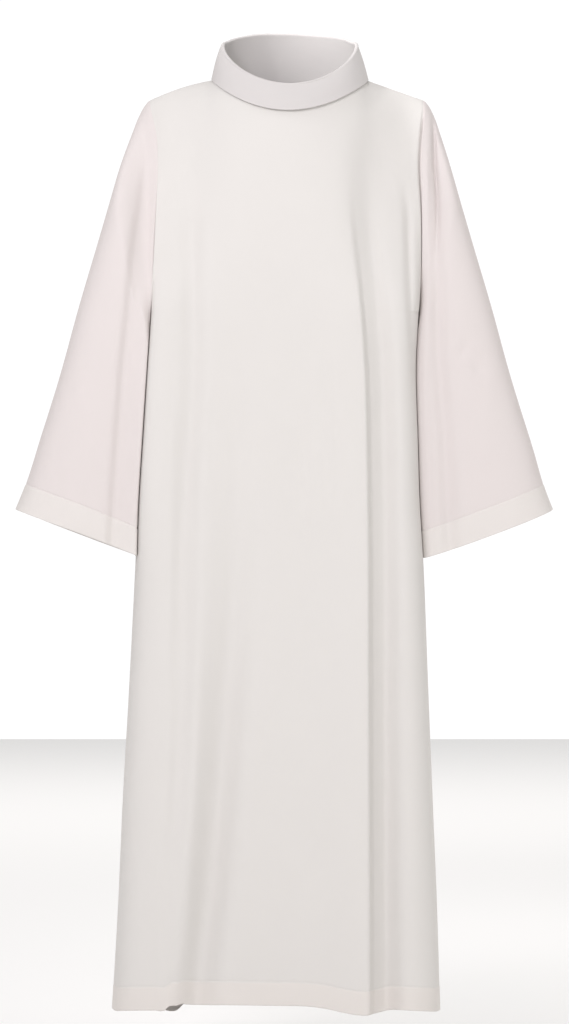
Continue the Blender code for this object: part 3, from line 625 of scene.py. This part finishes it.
# the sleeve's depth in front of its middle and behind it, at even steps from shoulder to cuff
SLEEVE_DEPTH = {LEFT: [0.102, 0.106, 0.1085, 0.1090, 0.1085, 0.107],
                RIGHT: [0.076, 0.082, 0.087, 0.088, 0.088, 0.086]}
SLEEVE_BACK_DEPTH = [0.062, 0.064, 0.064, 0.062, 0.060, 0.058]
OUTER_ROUNDNESS = 0.36      # of the sleeve's outer edge: 0 is square, 1 is round
INNER_ROUNDNESS = {FRONT: 0.05, BACK: 0.30}     # of its edge beside the robe
SLEEVE_COLUMNS = 200
SLEEVE_ROWS = 162           # above the cuff's hem
CUFF_ROWS = 28              # in the hem
MEASURING_ROWS = 300        # on which the way to the cuff is measured

# creases: face, half widths towards the robe and away from it, and a run through (height,
# distance from the robe's side, how far it stands out; a hollow is below 0)
SLEEVE_FOLDS = {LEFT: [
    (FRONT, 0.018, 0.008, [(-0.12, 0.020, -0.002), (-0.19, 0.023, -0.005), (-0.27, 0.030, -0.007),
                           (-0.40, 0.035, -0.008), (-0.76, 0.038, -0.008)]),
    (FRONT, 0.012, 0.012, [(-0.30, 0.002, 0.0), (-0.42, 0.002, 0.0040), (-0.76, 0.002, 0.0045)]),
    (BACK, 0.020, 0.020, [(-0.12, 0.018, 0.0), (-0.40, 0.045, -0.010), (-0.76, 0.060, -0.012)]),
], RIGHT: [
    (FRONT, 0.0035, 0.0035, [(-0.045, 0.0160, 0.0), (-0.065, 0.0190, -0.004),
                             (-0.117, 0.0250, -0.007), (-0.190, 0.0264, -0.007),
                             (-0.235, 0.0252, -0.004), (-0.290, 0.0239, 0.0)]),
    (FRONT, 0.010, 0.014, [(-0.05, 0.020, -0.001), (-0.13, 0.026, -0.004), (-0.27, 0.0245, -0.007),
                           (-0.40, 0.032, -0.007), (-0.53, 0.040, -0.007),
                           (-0.76, 0.044, -0.007)]),
    (FRONT, 0.008, 0.008, [(-0.05, 0.009, 0.001), (-0.13, 0.010, 0.004), (-0.25, 0.010, 0.003),
                           (-0.36, 0.011, 0.003), (-0.76, 0.013, 0.003)]),
    (BACK, 0.020, 0.020, [(-0.12, 0.018, 0.0), (-0.40, 0.045, -0.010), (-0.76, 0.060, -0.012)]),
]}
# small dents at the elbow: (distance from the robe's middle, height, reach, depth)
ELBOW_DENTS = {LEFT: [], RIGHT: [(0.281, -0.435, 0.010, 0.0022), (0.3095, -0.4555, 0.012, 0.0018)]}

FULL_CORNER = 0.97          # past this share of its depth the robe's side turns in no further


def body_side(side, y, z):
    """Distance of the robe's side from its middle, at a depth and a height."""
    corner = 0.96 * side * body(HALF_WIDTH, z) + body(LEAN, z)
    reach = np.where(y < 0, body(FRONT_DEPTH, z) + fold_height(FRONT_FOLDS, corner, z),
                     body(BACK_DEPTH, z) + fold_height(BACK_FOLDS, corner, z))
    power = np.where(y < 0, section_power(FRONT, side > 0, z), section_power(BACK, side > 0, z))
    inside = 1 - np.minimum(np.abs(y / reach), FULL_CORNER)**power
    return body(HALF_WIDTH, z) * inside**(1 / power) + side * body(LEAN, z)


def armhole(side, turn):
    """The panels' edge: turn is 0 at the shoulder, pi at the underarm and goes by the front."""
    place, down = np.full(turn.shape, float(side)), (1 - np.cos(turn)) / 2
    front = np.sin(turn)[..., None] > -1e-9
    return np.where(front, panel_surface(FRONT, place, down), panel_surface(BACK, place, down))


def sleeve_creases(side, facing, out, z):
    """How far the creases stand out of a sleeve's front or back."""
    off = out - body(HALF_WIDTH, z) - side * body(LEAN, z)
    total = np.zeros(out.shape)
    for face, near, far, run in SLEEVE_FOLDS[side]:
        middle, stands = follow(run, z)
        width = np.where(off < middle, near, far)
        total += stands * np.exp(-((off - middle) / width)**2) * (facing == face)
    return total


def sleeve_surface(side, turn, along):
    """Outer face of a sleeve: turn goes round it from the top edge by the front."""
    edge = SLEEVE_TOP_EDGE
    length = np.concatenate([[0], np.cumsum(np.hypot(*np.diff(edge, axis=0).T))])
    top_out = curve(length / length[-1], edge[:, 0], along)
    top_z = curve(length / length[-1], edge[:, 1], along)
    inner_z = UNDERARM + (CUFF_INNER[side] - UNDERARM) * along
    set_back = SLEEVE_SET_BACK[side] * ease(along, 0, 0.18)
    gap = SEAM_GAP + (SLEEVE_GAP - SEAM_GAP) * ease(along, 0.02, 0.28)
    tip_out = BODY[0, HALF_WIDTH] + side * BODY[0, LEAN]
    top_out = top_out + (tip_out - edge[0, 0]) * (1 - ease(along, 0, 0.2))
    top_out += SLEEVE_LEAN * (side * ease(along, 0, 0.2) - (1 + side) * ease(along, 0.85, 1))

    share = (1 + np.cos(turn)) / 2
    z = inner_z + (top_z - inner_z) * share
    steps = np.linspace(0, 1, len(SLEEVE_BACK_DEPTH))
    half_depth = np.where(np.sin(turn) > 0, curve(steps, SLEEVE_DEPTH[side], along),
                          curve(steps, SLEEVE_BACK_DEPTH, along))
    # the outer edge is round, and the inner one lies flat along the body's side
    inner = np.where(np.sin(turn) > 0, INNER_ROUNDNESS[FRONT], INNER_ROUNDNESS[BACK])
    roundness = OUTER_ROUNDNESS + (inner - OUTER_ROUNDNESS) * (1 - share)**2
    y = set_back - half_depth * np.sign(np.sin(turn)) * np.abs(np.sin(turn))**roundness
    # at the armhole the sleeve starts on the armhole's own edge, one seam gap outside it
    leaving = ease(along, 0, 0.10 + 0.15 * ease(share, 0, 0.4))
    start = armhole(side, turn)
    y = start[..., 1] + (y - start[..., 1]) * leaving
    inner_out = body_side(side, y * leaving, inner_z) + gap
    out = inner_out + (top_out - inner_out) * share
    straight = (body_side(side, 0 * turn, UNDERARM + 0 * turn) * (1 - share) + tip_out * share)
    out = out + (side * start[..., 0] - straight) * (1 - leaving)
    out = out + SEAM_GAP * share * (1 - ease(along, 0, 0.1))

    facing = -np.sign(np.sin(turn))
    on_face = ease(np.abs(np.sin(turn)), 0, 0.3)
    y = y + facing * sleeve_creases(side, facing, out, z) * on_face * ease(along, 0, 0.06)
    y = y + facing * slack(out * 1.3, z, 4.1 + side) * on_face * ease(along, 0, 0.1)
    for x, height, reach, depth in ELBOW_DENTS[side]:
        dent = np.exp(-((out - x) / reach)**2 - ((z - height) / (1.4 * reach))**2)
        y = y + depth * dent * (facing == FRONT)

    # the cuff hangs lower in its middle
    dip = np.where(np.sin(turn) > 0, *CUFF_DIP[side])
    z = z - dip * np.abs(np.sin(turn)) * along**3

    # the sleeve lies clear of the armhole's edge, and below it clear of the robe's side
    clear = body_side(side, y * ease(UNDERARM - z, 0, 0.03), z) + gap
    out = np.where(z < UNDERARM + 0.15, np.maximum(out, clear), out)
    return np.stack([side * out, y, z], axis=-1)


sleeve_cloth = cloth_finish("ivory_crepe_sleeves", (0.645, 0.596, 0.579))
# the doubled cuff hem lets less light through, so it is a little lighter
cuff_cloth = cloth_finish("ivory_crepe_cuffs", (0.665, 0.630, 0.602))
turns = crowded(0, 2 * np.pi, SLEEVE_COLUMNS + 1, [
    (np.pi, 0.5, 1.5), (np.pi, 0.05, 14), (0, 0.15, 1.5), (2 * np.pi, 0.15, 1.5)])[:-1]
sleeves, cuff_threads = {}, {}
for side, name in ((LEFT, "sleeve_left"), (RIGHT, "sleeve_right")):
    # the rows keep their distance from the cuff, so that the hem is as deep all round
    fine_turn, fine_along = np.meshgrid(turns, np.linspace(0, 1, MEASURING_ROWS))
    fine = lengths(sleeve_surface(side, fine_turn, fine_along), 0)
    to_cuff = fine[-1:] - fine
    above = crowded(0, 1, SLEEVE_ROWS, [(0, 0.01, 3), (1, 0.01, 3)])
    hem_rows = CUFF_HEM * (1 - crowded(0, 1, CUFF_ROWS + 1, [(0, 0.06, 2), (1, 0.05, 2)])[1:])
    along = np.empty((SLEEVE_ROWS + CUFF_ROWS, len(turns)))
    for c in range(len(turns)):
        hem_start = np.interp(-CUFF_HEM, -to_cuff[:, c], fine_along[:, c])
        along[:SLEEVE_ROWS, c] = above * hem_start
        along[SLEEVE_ROWS:, c] = np.interp(-hem_rows, -to_cuff[:, c], fine_along[:, c])
    turn = np.broadcast_to(turns, along.shape)
    outer = sleeve_surface(side, turn, along)
    normal = outward(outer, closed=True)
    normal *= np.sign(side * normal[-3, 0, 0])
    from_top = lengths(outer, 0)
    pulled = tight_seam(outer[:1]) * (outer[:1, :, 1] < 0)
    reach = SEAM_REACH * (1 - 0.4 * pulled)
    ditch = SEAM_DITCH * (1 + TIGHT_DITCH * pulled) * np.exp(-(from_top / reach)**2)
    relief, thick = hem_relief(from_top[-1:] - from_top, CUFF_HEM, CUFF_GROOVE, CUFF_STEP)
    outer = outer + normal * relief[..., None] - ditch_way(outer, normal) * ditch[..., None]
    inner = outer - normal * thick[..., None]
    sleeves[side] = shell(name + "_cloth", outer, inner, sleeve_cloth, closed=True,
                          hem=(SLEEVE_ROWS, cuff_cloth))
    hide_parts(name)
    # the stitches go round on the last row above the hem
    ring_line, ring_ways = [np.concatenate([grid[SLEEVE_ROWS - 1], grid[SLEEVE_ROWS - 1, :1]])
                            for grid in (outer, normal)]
    cuff_threads[side] = stitch_row(name + "_cuff_stitches", ring_line, ring_ways, robe_thread)

# ============================================================ roll collar
# A tall stand of doubled crepe that rolls over at the top and falls back outside itself to
# cover the neck seam.  It is cut as one straight strip, and its free edge is folded in.
FOLD_TOP = (0.110, 0.087)   # half width and half depth of the fold at the top
FOLD_RADIUS = 0.003         # of the roll
COLLAR_CLOTH = 0.0014       # two layers with interlining
COLLAR_BELLY = 0.0016       # the fall swells out this much in its middle
COLLAR_FLARE = 0.0008       # and its free edge stands out this much
COLLAR_COLUMNS = 260


def fall_edge_height(along):
    """Height of the collar's free lower edge."""
    return 0.0040 + 0.0124 * along - np.where(along < 0, 0.0426, 0.0160) * along**2


def fold_top_height(turn):
    """Height of the fold along the collar's top, a little lower at both sides of the back."""
    along, right = -np.cos(turn), np.sin(turn)
    droop = 0.007 * np.maximum(right, 0) + 0.006 * ease(-right, 0.3, 1)
    return 0.060 + 0.0455 * along - 0.0215 * along**2 - droop * ease(along, 0, 0.4)


def collar_grid(turn, inside):
    """Points down the fall's face, over the roll and down the stand, at each turn."""
    along = -np.cos(turn)
    way = ring_outward(turn)
    edge, top = ring(FALL_EDGE, turn), ring(FOLD_TOP, turn)
    seam = edge - SEAM_INSET * way
    roll_z = fold_top_height(turn) - FOLD_RADIUS
    back = COLLAR_CLOTH if inside else 0
    rows = []
    for q in crowded(0, 1, 26, [(0, 0.05, 3), (1, 0.05, 2)]):
        # soft waves run round the fall, and its free edge is not quite even
        belly = COLLAR_BELLY * np.sin(np.pi * q) + 0.0006 * np.sin(5 * turn + 1 + 2 * q)
        flare = COLLAR_FLARE * (1 - q)**6
        place = edge + (top - edge) * q + (belly + flare - back)[:, None] * way
        rows.append([place, fall_edge_height(along) + (roll_z - fall_edge_height(along)) * q
                     + 0.0007 * np.sin(3 * turn + 0.5) * (1 - q)])
    radius = FOLD_RADIUS - back
    for roll in np.radians(np.linspace(15, 165, 11)):
        rows.append([top - (back + radius * (1 - np.cos(roll))) * way,
                     roll_z + radius * np.sin(roll)])
    for q in crowded(1, 0, 22, [(1, 0.05, 2)]):
        start = top - 2 * FOLD_RADIUS * way
        place = (seam - COLLAR_CLOTH * way) * (1 - q) + start * q + back * way
        height = neck_height(along) + SEAM_GAP
        rows.append([place, height + (roll_z - height) * q])
    return np.array([np.concatenate([place, height[:, None]], axis=1)
                     for place, height in rows])


# the collar is the body's crepe, painted darker: painted shade on its face and inside the neck
collar_cloth = cloth_finish("ivory_crepe_collar_painted_shade", (0.566, 0.541, 0.528))
collar_turns = 2 * np.pi * np.arange(COLLAR_COLUMNS) / COLLAR_COLUMNS
collar = shell("collar_cloth_strip", collar_grid(collar_turns, False),
               collar_grid(collar_turns, True), collar_cloth, closed=True)
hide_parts("collar")

# ============================================================ studio
# A plain pale floor under the hanging robe and even white light all round.  A soft main lamp
# stands high on the left in front, a weak one above, and a wide one on the right; two light
# the back and the floor, and a narrow one shines from the upper left into the collar.
FLOOR_HEIGHT = -1.56
FLOOR_SIZE = (8, 14)        # half width and half depth
WARM_WHITE = (1.0, 0.98, 0.97)
floor_mesh = bpy.data.meshes.new("studio_floor")
floor_mesh.from_pydata([(right * FLOOR_SIZE[0], back * FLOOR_SIZE[1], FLOOR_HEIGHT)
                        for right, back in ((-1, -1), (1, -1), (1, 1), (-1, 1))], [],
                       [(0, 1, 2, 3)])
floor = bpy.data.objects.new("studio_floor", floor_mesh)
bpy.context.scene.collection.objects.link(floor)
floor_paint = bpy.data.materials.new("floor_paint")
floor_paint.use_nodes = True
paint = floor_paint.node_tree.nodes["Principled BSDF"]
paint.inputs["Base Color"].default_value = (0.96, 0.95, 0.94, 1)
paint.inputs["Roughness"].default_value = 0.9
floor_mesh.materials.append(floor_paint)

# what lights the robe is a little weaker than what shows behind it
world = bpy.data.worlds.new("white_studio")
world.use_nodes = True
nodes, links = world.node_tree.nodes, world.node_tree.links
backdrop = nodes["Background"]
backdrop.inputs["Strength"].default_value = 1.04
room = nodes.new("ShaderNodeBackground")
room.inputs["Strength"].default_value = 0.66
seen = nodes.new("ShaderNodeLightPath")
either = nodes.new("ShaderNodeMixShader")
links.new(seen.outputs["Is Camera Ray"], either.inputs["Fac"])
links.new(room.outputs["Background"], either.inputs[1])
links.new(backdrop.outputs["Background"], either.inputs[2])
links.new(either.outputs["Shader"], nodes["World Output"].inputs["Surface"])
for light in (backdrop, room):
    light.inputs["Color"].default_value = (1, 1, 1, 1)
bpy.context.scene.world = world


def place_lamp(name, kind, place, target, watts):
    """Adds a lamp that shines at a target, and returns its light."""
    light = bpy.data.lights.new(name, kind)
    light.energy = watts
    lamp = bpy.data.objects.new(name, light)
    lamp.location = place
    lamp.rotation_euler = (Vector(target) - Vector(place)).to_track_quat("-Z", "Y").to_euler()
    bpy.context.scene.collection.objects.link(lamp)
    return light


for name, place, target, size, watts, colour in (
        ("key_lamp", (-1.10, -2.85, 1.10), (0, 0, -0.2), 1.0, 54, (0.975, 0.95, 1.0)),
        ("top_lamp", (-1.1, -0.5, 1.4), (0, 0, 0), 0.6, 4, (1.0, 0.98, 0.98)),
        ("right_lamp", (2.2, -2.8, 0.2), (0, 0, -0.7), 1.6, 23, WARM_WHITE),
        ("floor_lamp", (0, 8, 4), (0, 8.001, -1), 6.0, 150, WARM_WHITE),
        ("back_lamp", (2.2, 3.0, 1.2), (0, 0, -0.4), 1.4, 30, WARM_WHITE)):
    soft_light = place_lamp(name, "AREA", place, target, watts)
    soft_light.shape = "SQUARE"
    soft_light.size = size
    soft_light.color = colour

collar_light = place_lamp("collar_lamp", "SPOT", (-0.55, -0.25, 0.75), (0.075, 0.06, 0.04), 31)
collar_light.spot_size = np.radians(16)
collar_light.spot_blend = 0.7
collar_light.shadow_soft_size = 0.06

bpy.context.scene.view_settings.view_transform = "Standard"
bpy.context.scene.view_settings.look = "None"
camera_data = bpy.data.cameras.new("studio_camera")
camera_data.sensor_width = 36
camera_data.lens = 219.73
camera_data.clip_end = 100
camera = bpy.data.objects.new("studio_camera", camera_data)
camera.location = (0, -10, -0.688)
camera.rotation_euler = (np.pi / 2, 0, 0)
bpy.context.scene.collection.objects.link(camera)
bpy.context.scene.camera = camera
